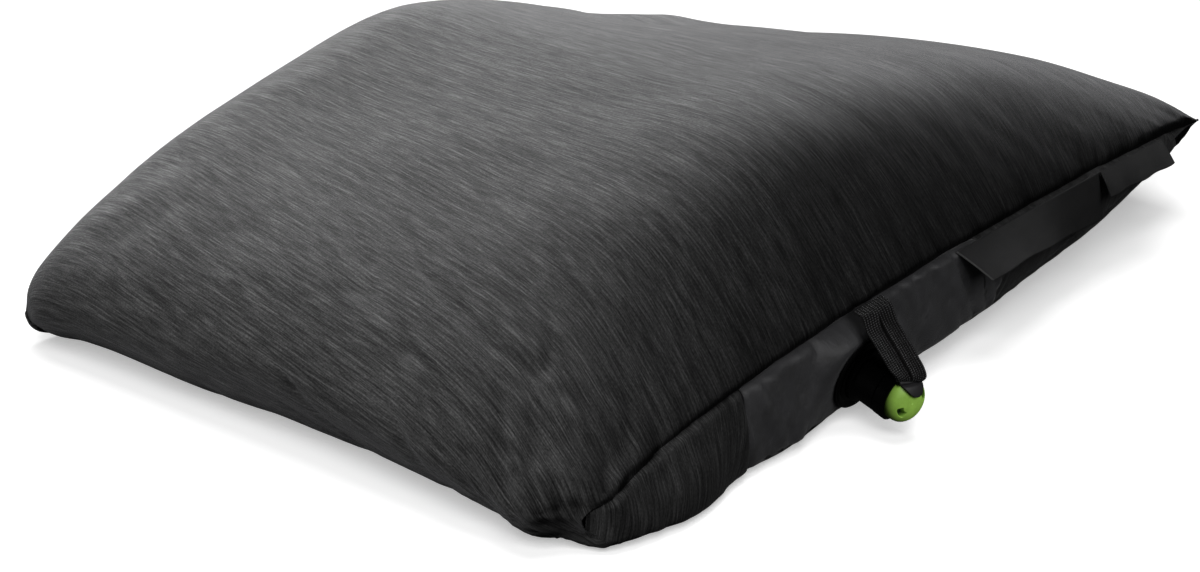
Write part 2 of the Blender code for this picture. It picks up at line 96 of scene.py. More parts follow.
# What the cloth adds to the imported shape
TIPS = {  # each corner's shift, the reach of that, and its swelling
    (-1, -1): ((0.0105, 0.0045, 0.0005), 0.016, 0.0035),
    (-1, 1): ((0.002, -0.002, 0.001), 0.009, 0.001),
    (1, -1): ((0.0, 0.0, -0.0056), 0.028, 0.0),
    (1, 1): ((-0.008, -0.004, -0.001), 0.012, 0.002),
}
TIP_INSIDE = (-0.034, -0.030, 0.012)  # from a tip to the middle that its swelling points away from
SWELL_FROM, SWELL_WIDTH = 0.021, 0.011  # a swelling's distance from its tip, and its width
FULLNESS = (  # where the skin is fuller: centre, shift and reach along each axis
    ((-0.196, -0.172, 0.002), (0.0, -0.0085, 0.0), (0.036, 0.030, 0.020)),
    ((-0.112, -0.174, 0.004), (0.0, -0.0045, 0.0), (0.030, 0.030, 0.020)),
    ((-0.253, -0.140, 0.004), (-0.0038, 0.0, 0.0), (0.030, 0.026, 0.022)),
    ((-0.255, 0.055, 0.016), (-0.0020, 0.0, -0.0032), (0.030, 0.055, 0.030)),
    ((-0.045, 0.142, 0.112), (0.0, 0.0010, 0.0032), (0.055, 0.060, 0.040)),
    ((-0.060, -0.120, 0.098), (0.0, -0.0015, 0.0055), (0.095, 0.030, 0.045)),
    ((0.100, -0.105, 0.095), (0.0, 0.0, 0.0030), (0.080, 0.030, 0.040)),
    ((0.250, -0.148, 0.060), (0.0020, 0.0, 0.0032), (0.022, 0.026, 0.020)),
)
MOST_FOLD = 0.0012  # limit on how far a simulated fold lifts or sinks

# Valve
VALVE_CENTRE = Vector((-0.066, -0.1775, 0.0255))
VALVE_DIP = math.radians(15)
OUT = Vector((0, -math.cos(VALVE_DIP), -math.sin(VALVE_DIP)))
UP = Vector((0, -math.sin(VALVE_DIP), math.cos(VALVE_DIP)))
FLANGE_R, FLANGE_T = 0.018, 0.0018
HOLE_R = 0.0125  # of the hole in the panel
HOUSING_R, HOUSING_FLARE, HOUSING_END = 0.0108, 0.0122, 0.0218
KNOB_RADIUS = 0.0105
KNOB_PLACE = 0.0224  # how far out the knob starts
KNOB_RIM, KNOB_CROWN = 0.0026, 0.0082  # its heights above that
KNOB_LEAN = math.radians(20)
RECESS_DEPTH = 0.0030
LEAN_SIDE = Vector((-0.797, -0.156, 0.583))  # the knob sits askew towards this side

# Elastic loop, from its left corners to its right ones
LOOP_TOP = (-0.0675, -0.0465)
LOOP_LOW = ((-0.0765, -0.2000, 0.0315), (-0.0605, -0.2084, 0.0286))
LEG_SHARE = 0.515  # each leg's share of the width: they overlap a little behind a groove, painted near-black as painted shade
FOLD_FROM, FOLD_RADIUS = 0.88, 0.0016
RIBS, KNIT_STEP = 6.0, 0.0011  # ribs on each leg, and the length of one stitch

# Labels: names, where each starts and ends along the seam, its drop at both ends, its curl, and a margin that
# hides its pale edge
LABELS = (
    ("tab_main", "main_label", 0.0145, 0.1385, (0.005, -0.0175, -0.011), (0, -0.0050, -0.0225), 0.0003, 0.0),
    ("tab_side", "side_label", 0.1405, 0.2040, (0, -0.0070, -0.0120), (0, -0.0090, -0.0110), 0.0005, 0.01),
)

# Cloth
CELL = 0.0027  # mesh spacing of the cover
CLOTH = 0.0007
YARN_LEAN = 9.0  # the gussets' yarns curve by this many metres per square metre of drop
PAD_FROM, PAD_TO = 0.0036, 0.0056  # the batting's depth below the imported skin
SEAM_DEPTH, SEAM_HALF_WIDTH = 0.0031, 0.0017
EDGE_BAND, EDGE_CELL, EDGE_GROWTH = 0.012, 0.0006, 1.22  # the finer mesh beside a seam
WELD = 20000  # points within a cell of 1 / WELD metres are one
SIM_CELL = 0.0065
SIM_FRAMES = 20
START_DEPTH = 0.003  # the simulated skin starts this far inside
CLOTH_SPARE = -0.012
MOST_MOVE = 0.006
BROAD_CELLS = 4.5  # folds wider than this many simulated cells are left out
FOLD_GAIN = 0.35

# Stage: each lamp's name, azimuth and elevation in degrees, distance and size in metres, and power in watts
PILLOW_LAMPS = (
    ("back_right", 60, 28, 0.9, 0.5, 12.4),
    ("back", 90, 45, 0.9, 0.5, 6.1),
    ("left", 180, 32, 0.9, 0.5, 2.9),
)
FLOOR_LAMPS = (("floor_front", 220, 38, 3.0, 1.6, 70), ("floor_top", 0, 90, 3.0, 2.0, 55))
FRONT_LAMPS = (("front_trim", 262, 30, 2.0, 1.2, 19), ("front_gussets", 318, 30, 2.0, 1.2, 7.0))
LAMPS_FACE = Vector((0, 0, 0.05))
FLOOR_GLOW, WORLD_GLOW = 0.405, 0.012
FLOOR_REACH = 6.0

# Camera
CAMERA_TURN = math.radians(49.587)
CAMERA_DROP = math.radians(22.99)
CAMERA_DISTANCE = 1.4059
CAMERA_TARGET = Vector((-0.0311, 0.00305, 0.0054))
CAMERA_LENS = 86.14


# Skin formulas, on arrays


def clamp(value, low=0.0, high=1.0):
    return np.minimum(np.maximum(value, low), high)


def smooth(share):
    share = clamp(share)
    return share * share * (3 - 2 * share)


def bell(value):
    return np.exp(-(value**2))


def mix(a, b, share):
    return a + (b - a) * share


def corner_blend(values, xi, v):
    front = mix(values[(-1, -1)], values[(1, -1)], (xi + 1) / 2)
    back = mix(values[(-1, 1)], values[(1, 1)], (xi + 1) / 2)
    return mix(front, back, (v + 1) / 2)


def outline(xi, v, end_share=1.0, side_share=1.0):
    side_bow = side_share * np.where(v < 0, FRONT_BOW, BACK_BOW)
    end_bow = end_share * np.where(xi < 0, LEFT_BOW, RIGHT_BOW)
    x = HALF_L * xi * (1 + end_bow * (1 - v * v))
    y = HALF_W * v * (1 + side_bow * (1 - xi * xi))
    for (corner_x, corner_v), (pull_x, pull_y) in CORNER_PULL.items():
        weight = clamp(xi * corner_x) ** 6 * clamp(v * corner_v) ** 6
        x = x + pull_x * weight
        y = y + pull_y * weight
    return x, y


def corner_plane(xi, v):
    left = LEFT_END_RISE * (1 - v * v) * clamp(-xi) ** 4
    return corner_blend(CORNER_HEIGHT, xi, v) + left


def bump(xi, v, centre, spread):
    """A smooth hump of height 1."""
    return bell((xi - centre[0]) / spread[0]) * bell((v - centre[1]) / spread[1])


def rise(xi, v):
    """Height of the top skin above the plane through the corners."""
    along = clamp(abs(xi - CROWN_SHIFT * (1 - xi * xi)))
    dome = clamp(1 - along ** DOME_POWERS[0]) ** DOME_POWERS[1]
    front = clamp(1 - abs(v) ** FRONT_CROWN_POWERS[0]) ** FRONT_CROWN_POWERS[1]
    back = clamp(1 - abs(v) ** BACK_CROWN_POWERS[0]) ** BACK_CROWN_POWERS[1]
    across = np.where(v < 0, front, back)
    seam = SEAM_RISE * clamp(1 - along * along) ** 0.75
    cradle = CRADLE_DEPTH * bell((v - CRADLE_CENTRE) / CRADLE_SPREAD)
    cradle = cradle * (1 - xi**4) * (1 - v**4)
    shoulder = SHOULDER * bump(xi, v, SHOULDER_CENTRE, SHOULDER_SPREAD) * (1 - v**8)
    hollow = HOLLOW * bump(xi, v, HOLLOW_CENTRE, HOLLOW_SPREAD) * (1 - xi**6) * (1 - v**8)
    return seam + dome * across * (CROWN + CROWN_TILT * v) - cradle + shoulder - hollow


def top_skin(xi, v):
    x, y = outline(xi, v)
    return np.stack([x, y, corner_plane(xi, v) + rise(xi, v)], axis=-1)


def underside(xi, v):
    left = 1 - np.sqrt(1 - clamp((FLAT_FROM - xi) / (1 + FLAT_FROM)) ** LEFT_LIFT_POWER)
    right = 1 - np.sqrt(1 - clamp((xi - FLAT_TO) / (1 - FLAT_TO)) ** RIGHT_LIFT_POWER)
    end = np.where(xi < 0, left, right)
    along = clamp((xi - SIDE_LIFT_FROM) / (1 - SIDE_LIFT_FROM)) ** 2
    edge_height = np.where(v < 0, CORNER_HEIGHT[(1, -1)], CORNER_HEIGHT[(1, 1)])
    side = clamp((abs(v) - FLAT_WIDTH) / (1 - FLAT_WIDTH)) ** 3
    return mix(edge_height * along * side, corner_plane(xi, v), end)


def bottom_skin(xi, v):
    end_share = smooth((abs(xi) + FLAT_FROM) / (1 + FLAT_FROM))
    side_share = smooth((abs(v) - FLAT_WIDTH) / (1 - FLAT_WIDTH))
    x, y = outline(xi, v, end_share, side_share)
    return np.stack([x, y, underside(xi, v)], axis=-1)


def gusset_skin(xi, w, side=-1):
    """A side panel, w from 0 at its lower seam to 1 at its upper seam."""
    edge = side * np.ones_like(xi)
    top = top_skin(xi, edge)
    low = bottom_skin(xi, edge)
    points = mix(low, top, w[..., None])
    points[..., 1] += side * GUSSET_BULGE * 4 * w * (1 - w) * (1 - xi**4)
    return points


def tip_place(corner):
    return top_skin(np.array(float(corner[0])), np.array(float(corner[1])))


def soften_tips(points):
    """Rounds off the corners, lets the raised one droop, and fills the skin out where it is fuller."""
    moved = points.copy()
    for corner, (shift, reach, swell) in TIPS.items():
        tip = tip_place(corner)
        away = norm(points - tip, axis=-1, keepdims=True)
        outward = points - (tip + np.array(TIP_INSIDE) * (*corner, 1))
        outward = outward / norm(outward, axis=-1, keepdims=True)
        moved = moved + np.array(shift) * bell(away / reach)
        moved = moved + outward * swell * bell((away - SWELL_FROM) / SWELL_WIDTH)
    for centre, shift, reach in FULLNESS:
        away = norm((points - np.array(centre)) / np.array(reach), axis=-1, keepdims=True)
        moved = moved + np.array(shift) * bell(away)
    return moved


def tip_calm(points):
    """0 at the corners, where all the panels meet, and 1 away from them."""
    calm = np.ones(points.shape[:-1])
    for corner, (shift, _, _) in TIPS.items():
        away = norm(points - tip_place(corner) - np.array(shift), axis=-1)
        calm = calm * smooth((away - 0.001) / 0.014)
    return calm


# Mesh spacing


def arc(points):
    """Distance along a row of points."""
    steps = norm(np.diff(points, axis=0), axis=1)
    return np.concatenate([[0.0], np.cumsum(steps)])


def even(curve, step, low=-1.0, high=1.0, near=(True, True)):
    """Parameters from low to high spaced by step along a curve, and closer next to the ends named in near."""
    t = np.linspace(-1, 1, 6001)
    fine = np.sign(t) * (1 - (1 - abs(t)) ** 4)
    fine = mix(low, high, (fine + 1) / 2)
    length = arc(curve(fine))
    bands = [[0.0], [0.0]]
    for band, finer in zip(bands, near):
        while finer and band[-1] < EDGE_BAND:
            band.append(band[-1] + min(step, EDGE_CELL * EDGE_GROWTH ** len(band)))
    first, last = bands
    start, stop = first[-1], length[-1] - last[-1]
    count = max(2, round((stop - start) / step) + 1)
    middle = list(np.linspace(start, stop, count))
    places = first[:-1] + middle + [length[-1] - d for d in reversed(last[:-1])]
    return np.interp(places, length, fine)


# Cloth simulation on the whole skin, closed and coarse


def closed_mesh(grids):
    """One mesh from grids of points that share their edges, and each grid's vertex numbers."""
    found = {}
    numbers = []
    for grid in grids:
        number = np.empty(grid.shape[:2], int)
        for spot in np.ndindex(number.shape):
            key = tuple(int(round(value * WELD)) for value in grid[spot])
            number[spot] = found.setdefault(key, len(found))
        numbers.append(number)
    faces = []
    for number in numbers:
        for i in range(number.shape[0] - 1):
            for j in range(number.shape[1] - 1):
                quad = (number[i, j], number[i + 1, j], number[i + 1, j + 1], number[i, j + 1])
                face = list(dict.fromkeys(int(k) for k in quad))
                if len(face) > 2:
                    faces.append(face)
    mesh = bpy.data.meshes.new("skin")
    mesh.from_pydata([[k / WELD for k in key] for key in found], [], faces)
    mesh_data = bmesh.new()
    mesh_data.from_mesh(mesh)
    bmesh.ops.recalc_face_normals(mesh_data, faces=mesh_data.faces)
    mesh_data.to_mesh(mesh)
    mesh_data.free()
    return mesh, numbers


def add(name, data):
    obj = bpy.data.objects.new(name, data)
    bpy.context.scene.collection.objects.link(obj)
    return obj


def coordinates(mesh):
    flat = np.empty(len(mesh.vertices) * 3)
    mesh.vertices.foreach_get("co", flat)
    return flat.reshape(-1, 3)


def inflate(mesh, held):
    """How far each vertex moves when the closed skin is blown up between its held seams."""
    rest = coordinates(mesh)
    normals = np.array([vertex.normal[:] for vertex in mesh.vertices])
    start = rest - normals * (~held)[:, None] * START_DEPTH
    mesh.vertices.foreach_set("co", start.ravel())
    skin = add("skin", mesh)
    pins = skin.vertex_groups.new(name="seams")
    pins.add([int(i) for i in np.nonzero(held)[0]], 1.0, "REPLACE")
    cloth = skin.modifiers.new("Cloth", "CLOTH")
    settings = cloth.settings
    settings.quality = 6
    settings.mass = 0.3
    settings.tension_stiffness = 20
    settings.compression_stiffness = 20
    settings.shear_stiffness = 8
    settings.bending_stiffness = 0.4
    settings.vertex_group_mass = "seams"
    settings.shrink_min = CLOTH_SPARE
    settings.use_pressure = True
    settings.uniform_pressure_force = 4.0
    settings.effector_weights.gravity = 0.0
    cloth.point_cache.frame_end = SIM_FRAMES
    scene = bpy.context.scene
    for frame_number in range(1, SIM_FRAMES + 1):
        scene.frame_set(frame_number)
    evaluated = skin.evaluated_get(bpy.context.evaluated_depsgraph_get())
    moved = coordinates(evaluated.data) - rest
    scene.frame_set(1)
    bpy.data.objects.remove(skin)
    reach = norm(moved, axis=1, keepdims=True)
    return moved * np.minimum(1.0, MOST_MOVE / np.maximum(reach, 1e-9))


def spread(places, count, sigma=0.75):
    """Weights that blend count values in a row at the given fractional places."""
    weights = np.exp(-(((places[:, None] - np.arange(count)[None, :]) / sigma) ** 2) / 2)
    return weights / weights.sum(axis=1, keepdims=True)


class Field:
    """A smooth displacement over one grid of the skin."""

    FINER = 4

    def __init__(self, moved, first, second):
        self.first, self.second = first, second
        places = [np.linspace(0, n - 1, (n - 1) * self.FINER + 1) for n in moved.shape[:2]]
        left = spread(places[0], moved.shape[0])
        right = spread(places[1], moved.shape[1])
        self.fine = np.einsum("ai,ijk,bj->abk", left, moved, right)

    def __call__(self, first, second):
        a = np.interp(first, self.first, np.arange(len(self.first))) * self.FINER
        b = np.interp(second, self.second, np.arange(len(self.second))) * self.FINER
        i = np.minimum(a.astype(int), self.fine.shape[0] - 2)
        j = np.minimum(b.astype(int), self.fine.shape[1] - 2)
        da, db = (a - i)[..., None], (b - j)[..., None]
        low = self.fine[i, j] * (1 - da) + self.fine[i + 1, j] * da
        high = self.fine[i, j + 1] * (1 - da) + self.fine[i + 1, j + 1] * da
        return low * (1 - db) + high * db


def pressure_fields():
    """Displacement fields of the top, the underside, the front gusset and the rear gusset."""
    columns = even(lambda t: top_skin(t, 0 * t), SIM_CELL, near=(False, False))
    rows = even(lambda t: top_skin(0 * t, t), SIM_CELL, near=(False, False))
    heights = np.linspace(0, 1, 8)
    xi, v = np.meshgrid(columns, rows, indexing="ij")
    side_xi, w = np.meshgrid(columns, heights, indexing="ij")
    grids = [top_skin(xi, v), bottom_skin(xi, v), gusset_skin(side_xi, w, -1), gusset_skin(side_xi, w, 1)]
    mesh, numbers = closed_mesh(grids)
    held = np.zeros(len(mesh.vertices), bool)
    for number in numbers[:2]:
        held[number[:, [0, -1]]] = True
    flat = (underside(xi, v) < 0.002) & (abs(v) < 0.95)
    held[numbers[1][flat]] = True
    moved = inflate(mesh, held)
    lists = [(columns, rows), (columns, rows), (columns, heights), (columns, heights)]
    return [Field(folds_of(moved[number]), *pair) for number, pair in zip(numbers, lists)]


def folds_of(moved):
    """The folds in a displacement, without its broad swelling, which the formulas already hold."""
    broad = moved
    for axis, count in enumerate(moved.shape[:2]):
        weights = spread(np.arange(count, dtype=float), count, BROAD_CELLS)
        broad = np.moveaxis(np.tensordot(weights, broad, axes=(1, axis)), 0, axis)
    rows, columns = (smooth(np.minimum(np.arange(n), np.arange(n)[::-1]) / 2.0) for n in moved.shape[:2])
    folds = FOLD_GAIN * (moved - broad) * np.outer(rows, columns)[..., None]
    size = norm(folds, axis=-1, keepdims=True)
    return folds * np.minimum(1.0, MOST_FOLD / np.maximum(size, 1e-9))


# Grids and their relief


def grid_normals(points, flip=False):
    along = np.gradient(points, axis=0)
    across = np.gradient(points, axis=1)
    normal = np.cross(along, across)
    normal /= np.maximum(norm(normal, axis=-1, keepdims=True), 1e-12)
    return -normal if flip else normal


def row_arcs(points):
    """Distance along every row of a grid, from its first column."""
    steps = norm(np.diff(points, axis=0), axis=-1)
    return np.concatenate([np.zeros((1, points.shape[1])), np.cumsum(steps, axis=0)])


def column_arcs(points):
    steps = norm(np.diff(points, axis=1), axis=-1)
    return np.concatenate([np.zeros((points.shape[0], 1)), np.cumsum(steps, axis=1)], axis=1)


def edge_distances(points):
    """Distances over a grid from its first and last rows, and from its first and last columns."""
    along, across = row_arcs(points), column_arcs(points)
    return along, along[-1:] - along, across, across[:, -1:] - across


def raised(points, relief, flip=False):
    """The grid with its relief, which fades out at the pillow's corners."""
    return points + grid_normals(points, flip) * (relief * tip_calm(points))[..., None]


def cloud(first, second, size_first, size_second, seed):
    """Smooth noise from -1 to 1 over two distances, with features of the two sizes."""
    values = [
        noise.noise((a / size_first, b / size_second, seed))
        for a, b in zip(np.ravel(first), np.ravel(second))
    ]
    return np.array(values).reshape(np.shape(first)) * 1.6


def crease(value, sharp=2.0):
    """Noise turned into narrow valleys between broad folds."""
    return 1 - 2 * (1 - np.minimum(1, abs(value) * sharp)) ** 2


def seam_groove(distance):
    return -SEAM_DEPTH * np.exp(-((distance / SEAM_HALF_WIDTH) ** 1.6))


def puckers(place, distance, height, reach, size, seed):
    """Small gathers across a seam that fade away from it."""
    waves = cloud(place, distance * 0.4, size, 0.02, seed)
    return height * waves * np.exp(-distance / reach) * smooth(distance / 0.0015)


def finish_mesh(mesh, uv, mat):
    """Smooth shading, a material, and the cloth coordinates of each vertex."""
    layer = mesh.uv_layers.new(name="cloth")
    corner = np.empty(len(mesh.loops), int)
    mesh.loops.foreach_get("vertex_index", corner)
    layer.data.foreach_set("uv", uv.reshape(-1, 2)[corner].ravel())
    mesh.shade_smooth()
    mesh.materials.append(mat)


def piece_from_grid(name, points, uv, mat, thickness=CLOTH, offset=-1.0):
    rows, columns = points.shape[:2]
    number = np.arange(rows * columns).reshape(rows, columns)
    quads = np.stack([number[:-1, :-1], number[1:, :-1], number[1:, 1:], number[:-1, 1:]], axis=-1)
    mesh = bpy.data.meshes.new(name)
    mesh.from_pydata(points.reshape(-1, 3).tolist(), [], quads.reshape(-1, 4).tolist())
    finish_mesh(mesh, uv, mat)
    piece = add(name, mesh)
    solid = piece.modifiers.new("thickness", "SOLIDIFY")
    solid.thickness = thickness
    solid.offset = offset
    return piece


# Materials


class Graph:
    """Shader nodes of one material."""

    def __init__(self, name, colour, roughness, specular=0.5, **sockets):
        self.mat = bpy.data.materials.new(name)
        self.mat.use_nodes = True
        self.tree = self.mat.node_tree
        self.shader = self.tree.nodes["Principled BSDF"]
        self.finish(Base_Color=(*colour, 1.0), Roughness=roughness, Specular_IOR_Level=specular, **sockets)

    def set(self, node, socket, value):
        if isinstance(value, bpy.types.NodeSocket):
            self.tree.links.new(value, node.inputs[socket])
        else:
            node.inputs[socket].default_value = value

    def node(self, kind, inputs=(), **settings):
        made = self.tree.nodes.new(kind)
        for setting, value in settings.items():
            setattr(made, setting, value)
        for socket, value in dict(inputs).items():
            self.set(made, socket, value)
        return made

    def uv(self, size_u=1.0, size_v=1.0):
        """The cloth coordinates, in metres, divided by a feature size each way."""
        source = self.node("ShaderNodeUVMap", uv_map="cloth").outputs["UV"]
        inputs = {"Vector": source, "Scale": (1 / size_u, 1 / size_v, 1)}
        return self.node("ShaderNodeMapping", inputs).outputs["Vector"]

    def uv_parts(self):
        return self.node("ShaderNodeSeparateXYZ", {"Vector": self.uv()}).outputs

    def place(self, size):
        """The object's coordinates divided by a feature size."""
        source = self.node("ShaderNodeTexCoord").outputs["Object"]
        inputs = {"Vector": source, "Scale": (1 / size,) * 3}
        return self.node("ShaderNodeMapping", inputs).outputs["Vector"]

    def noise(self, vector, detail, roughness, distortion=0.0):
        inputs = {"Vector": vector, "Scale": 1.0, "Detail": detail, "Roughness": roughness}
        return self.node("ShaderNodeTexNoise", {**inputs, "Distortion": distortion}).outputs["Fac"]

    def wave(self, size, direction):
        """Bands across the cloth coordinate X or Y."""
        vector = self.uv(size, 1.0) if direction == "X" else self.uv(1.0, size)
        inputs = {"Vector": vector, "Scale": 1.0}
        return self.node("ShaderNodeTexWave", inputs, bands_direction=direction).outputs["Fac"]

    def weigh(self, value, weight, rest=0.0):
        """The value times its weight, plus the rest."""
        return self.math("MULTIPLY_ADD", value, weight, rest)

    def math(self, operation, *values):
        made = self.node("ShaderNodeMath", operation=operation)
        for number, value in enumerate(values):
            self.set(made, number, value)
        return made.outputs[0]

    def ramp(self, value, *stops):
        """Colours, or plain greys, between positions of the value."""
        made = self.node("ShaderNodeValToRGB", {"Fac": value})
        elements = made.color_ramp.elements
        while len(elements) < len(stops):
            elements.new(0.5)
        for element, (position, colour) in zip(elements, stops):
            element.position = position
            element.color = (*(colour if isinstance(colour, tuple) else (colour,) * 3), 1.0)
        return made.outputs["Color"]

    def range(self, value, low, high):
        inputs = {"Value": value, "To Min": low, "To Max": high}
        return self.node("ShaderNodeMapRange", inputs).outputs["Result"]

    def bump(self, height, strength, distance, before=None):
        inputs = {"Height": height, "Strength": strength, "Distance": distance}
        if before is not None:
            inputs["Normal"] = before
        return self.node("ShaderNodeBump", inputs).outputs["Normal"]

    def finish(self, **sockets):
        for socket, value in sockets.items():
            self.set(self.shader, socket.replace("_", " "), value)
        return self.mat


def jersey_material():
    """Space-dyed knit: fine light and dark streaks across the pillow, over knitted ribs."""
    sheen = {"Sheen_Weight": 0.24, "Sheen_Roughness": 0.45, "Sheen_Tint": (0.85, 0.85, 0.88, 1.0)}
    graph = Graph("jersey", (0.06, 0.06, 0.062), 0.9, 0.15, **sheen)
    long_streaks = graph.noise(graph.uv(0.0011, 0.030), 2.0, 0.6)
    short_streaks = graph.noise(graph.uv(0.0006, 0.011), 2.0, 0.6)
    bands = graph.noise(graph.uv(0.006, 0.07), 3.0, 0.6)
    specks = graph.noise(graph.uv(0.0007, 0.0012), 1.0, 0.5)
    blend = graph.weigh(long_streaks, 0.32, graph.weigh(short_streaks, 0.34))
    blend = graph.weigh(specks, 0.18, graph.weigh(bands, 0.16, blend))
    colour = graph.ramp(blend, (0.37, 0.013), (0.46, 0.037), (0.54, 0.083), (0.63, 0.170))
    knit = graph.weigh(graph.wave(0.0011, "X"), 0.6, graph.weigh(graph.wave(0.0009, "Y"), 0.4))
    normal = graph.bump(knit, 0.5, 0.00018)
    normal = graph.bump(blend, 0.5, 0.0009, normal)
    roughness = graph.range(blend, 0.98, 0.80)
    return graph.finish(Base_Color=colour, Normal=normal, Roughness=roughness)


def taffeta_material():
    """Coated black taffeta: a fine plain weave with a slight shine."""
    graph = Graph("taffeta", (0.02, 0.02, 0.022), 0.5, Sheen_Weight=0.15, Sheen_Roughness=0.5)
    weave = graph.weigh(graph.wave(0.00042, "X"), graph.wave(0.00042, "Y"))
    worn = graph.noise(graph.uv(0.011, 0.014), 4.0, 0.6)
    crumple = graph.noise(graph.uv(0.0045, 0.006), 3.0, 0.6, 0.4)
    colour = graph.ramp(worn, (0.3, (0.013, 0.013, 0.014)), (0.7, (0.030, 0.030, 0.033)))
    normal = graph.bump(weave, 0.35, 0.0001)
    normal = graph.bump(crumple, 0.3, 0.0012, normal)
    return graph.finish(Base_Color=colour, Normal=normal, Roughness=graph.range(worn, 0.58, 0.40))


def satin_material():
    """Woven label: fine satin ribs, and a pale cut edge where the first cloth coordinate is 0."""
    graph = Graph("satin", (0.011, 0.011, 0.012), 0.5, 0.45, Sheen_Weight=0.1)
    weave = graph.weigh(graph.wave(0.00035, "X"), 0.7, graph.weigh(graph.wave(0.0005, "Y"), 0.3))
    tone = graph.noise(graph.uv(0.010, 0.006), 3.0, 0.5)
    colour = graph.ramp(tone, (0.3, (0.008, 0.008, 0.009)), (0.7, (0.017, 0.017, 0.018)))
    edge = graph.ramp(graph.math("DIVIDE", graph.uv_parts()["X"], 0.0011), (0.6, 0.09), (0.9, 0.0))
    mixed = graph.node("ShaderNodeMixRGB", {"Fac": 1.0, "Color1": colour, "Color2": edge}, blend_type="ADD")
    normal = graph.bump(weave, 0.4, 0.0001)
    roughness = graph.range(tone, 0.55, 0.45)
    return graph.finish(Base_Color=mixed.outputs["Color"], Normal=normal, Roughness=roughness)


def webbing_material():
    """Knitted elastic: ribs with slanting stitches. Its colour follows the yarn pattern: the paler rib tops
    are partly the yarn's own tone and partly painted highlight, and the near-black between ribs and stitches,
    and in the groove where the legs overlap, is painted shade.
    """
    graph = Graph("webbing", (0.01, 0.01, 0.01), 0.8, 0.2, Sheen_Weight=0.04, Sheen_Roughness=0.4)
    across, along = graph.uv_parts()["X"], graph.uv_parts()["Y"]
    rib = graph.math("ABSOLUTE", graph.math("SINE", graph.weigh(across, math.pi)))
    slant = graph.math("ABSOLUTE", graph.math("SUBTRACT", graph.math("FRACT", across), 0.5))
    phase = graph.weigh(slant, 1.2, along)
    stitch = graph.weigh(graph.math("SINE", graph.weigh(phase, 2 * math.pi)), 0.5, 0.5)
    yarn_and_painted_light = graph.weigh(rib, graph.weigh(stitch, 0.75, 0.25))
    # Painted light: pale rib tops as painted highlight, near-black gaps as painted shade.
    colour = graph.ramp(yarn_and_painted_light, (0.56, 0.0005), (0.95, (0.070, 0.070, 0.072)))
    normal = graph.bump(yarn_and_painted_light, 0.8, 0.0003)
    return graph.finish(Base_Color=colour, Normal=normal, Roughness=graph.range(yarn_and_painted_light, 0.95, 0.65))


def plastic_material(name, colour, roughness, grain, painted_recess_shade=None):
    """Moulded plastic with a faint grain. The first cloth coordinate blends in painted shade: a darker colour
    in the recesses.
    """
    graph = Graph(name, colour, roughness)
    marks = graph.noise(graph.place(0.004), 4.0, 0.6)
    fine = graph.noise(graph.place(0.0004), 2.0, 0.5)
    low = tuple(0.88 * value for value in colour)
    high = tuple(min(1.0, 1.1 * value) for value in colour)
    tint = graph.ramp(marks, (0.3, low), (0.7, high))
    # Painted shade: where the first cloth coordinate nears 1, deep in a recess, the colour turns dark.
    if painted_recess_shade:
        inputs = {"Fac": graph.uv_parts()["X"], "Color1": tint, "Color2": (*painted_recess_shade, 1.0)}
        tint = graph.node("ShaderNodeMixRGB", inputs).outputs["Color"]
    normal = graph.bump(fine, grain, 0.0001)
    rough = graph.range(marks, roughness * 0.85, roughness * 1.2)
    return graph.finish(Base_Color=tint, Normal=normal, Roughness=rough)


def fibre_material(name, colour, size):
    """Loose fibres."""
    graph = Graph(name, colour, 1.0, Sheen_Weight=0.3)
    fluff = graph.noise(graph.place(size), 5.0, 0.7)
    tint = graph.ramp(fluff, (0.35, tuple(0.8 * value for value in colour)), (0.65, colour))
    normal = graph.bump(fluff, 0.8, size)
    return graph.finish(Base_Color=tint, Normal=normal, Roughness=graph.range(fluff, 0.85, 1.0))


# Cover


def top_cover(field, field_low, mat):
    """The jersey over the top, which wraps under both short ends as far as WRAP_TO."""
    columns = even(lambda t: top_skin(t, 0 * t), CELL, near=(False, False))
    rows = even(lambda t: top_skin(0 * t, t), CELL)
    wrap = even(lambda t: bottom_skin(t, 0 * t), CELL, -1.0, -WRAP_TO, near=(False, True))
    xi, v = np.meshgrid(columns, rows, indexing="ij")
    low_xi, low_v = np.meshgrid(wrap, rows, indexing="ij")
    top = top_skin(xi, v) + field(xi, v)
    left = (bottom_skin(low_xi, low_v) + field_low(low_xi, low_v))[:0:-1]
    right = (bottom_skin(-low_xi, low_v) + field_low(-low_xi, low_v))[1:]
    points = soften_tips(np.concatenate([left, top, right]))
    along, _, front, back = edges = edge_distances(points)
    u = along - along[len(along) // 2]
    all_xi = np.concatenate([low_xi[:0:-1], xi, -low_xi[1:]])
    all_v = np.concatenate([low_v[:0:-1], v, low_v[1:]])
    relief = sum(seam_groove(edge) for edge in edges)
    gather = 0.0006 + 0.0012 * bell((all_xi + 0.93) / 0.12)
    relief += puckers(u + 0.6 * front, front, gather, 0.011, 0.0052, 3.1)
    relief += puckers(u + 0.2 * front, front, 0.0011, 0.030, 0.0110, 6.7)
    relief += puckers(u, back, 0.0006, 0.010, 0.0065, 8.4)
    relief += top_folds(u, front, all_xi, all_v, points)
    return piece_from_grid("cover_top", raised(points, relief), grain(all_xi, all_v, u, front), mat)


def grain(xi, v, u, across):
    """Cloth coordinates: yarns across the pillow that lean at its left end and at its raised corner."""
    y = HALF_W * v
    left = 0.175 * smooth((-xi - 0.15) / 0.6) * y
    front = clamp(-y - 0.075, 0.0)
    right = 0.75 * smooth((xi - 0.02) / 0.55) * front * front / 0.18
    return np.stack([u - left + right, across], axis=-1)


